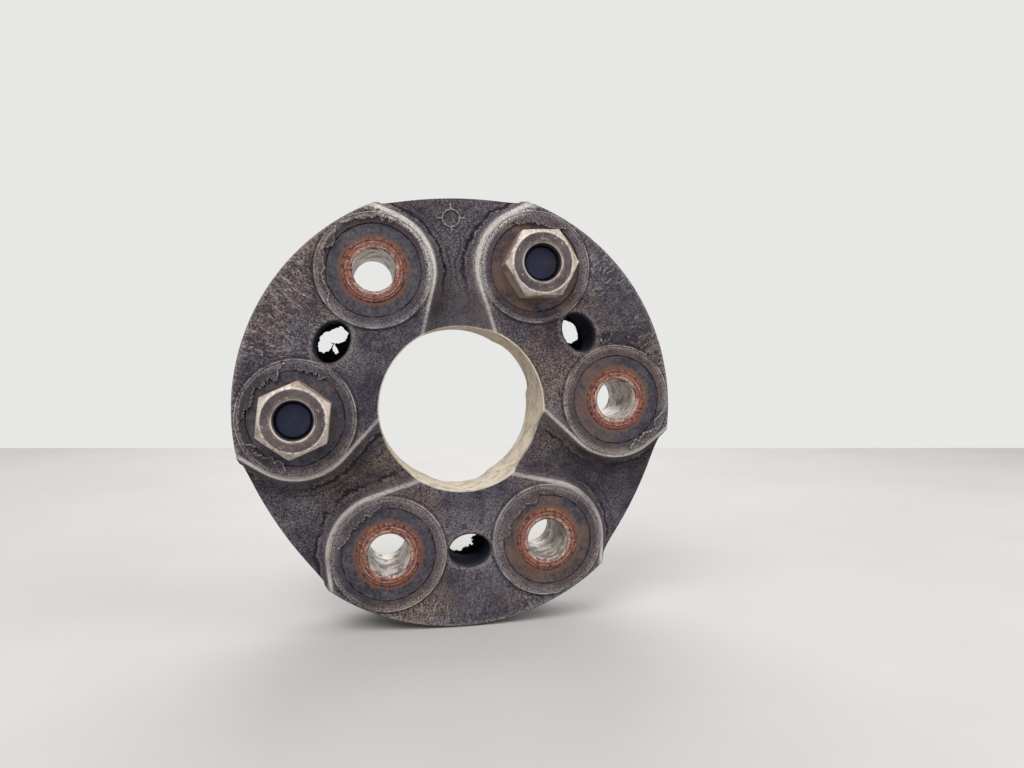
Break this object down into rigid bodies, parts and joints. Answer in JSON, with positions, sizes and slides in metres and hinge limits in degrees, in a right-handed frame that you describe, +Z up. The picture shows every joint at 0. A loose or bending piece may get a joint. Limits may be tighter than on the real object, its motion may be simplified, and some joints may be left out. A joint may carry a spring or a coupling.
{
  "type": "flexible disc coupling",
  "caption": "Worn rubber disc coupling with steel bushes on one bolt circle, raised webs on both faces and two hexagon nuts and bolts still fitted.",
  "frame": {"origin": "on the axis of the centre bore, half way between the two faces", "axes": "Y is the disc's axis, -Y out of the side with the nuts, Z up with the disc standing on its rim, X to the right as the nut side is seen"},
  "size_m": [0.1316, 0.0435, 0.1316],
  "materials": {
    "rubber": "worn, dusty",
    "rusty_steel": "rusty, bore worn bright",
    "dark_ring": "satin",
    "cord": "rubber-coated cord",
    "nut_steel": "dull, dirty top",
    "bolt_steel": "black"
  },
  "bodies": {
    "root": {"rubber_body": "rubber", "sleeve_right": "rusty_steel", "sleeve_top_right": "rusty_steel", "sleeve_top_left": "rusty_steel", "sleeve_left": "rusty_steel", "sleeve_bottom_left": "rusty_steel", "sleeve_bottom_right": "rusty_steel", "collar_front_right": "dark_ring", "collar_front_top_right": "dark_ring", "collar_front_top_left": "dark_ring", "collar_front_left": "dark_ring", "collar_front_bottom_left": "dark_ring", "collar_front_bottom_right": "dark_ring", "collar_rear_right": "dark_ring", "collar_rear_top_right": "dark_ring", "collar_rear_top_left": "dark_ring", "collar_rear_left": "dark_ring", "collar_rear_bottom_left": "dark_ring", "collar_rear_bottom_right": "dark_ring", "cord_front_right": "cord", "cord_front_left": "cord", "cord_front_bottom": "cord", "cord_rear_top": "cord", "cord_rear_lower_right": "cord", "cord_rear_lower_left": "cord", "nut_top_right": "nut_steel", "bolt_top_right": "bolt_steel", "nut_left": "nut_steel", "bolt_left": "bolt_steel"}
  },
  "joints": []
}
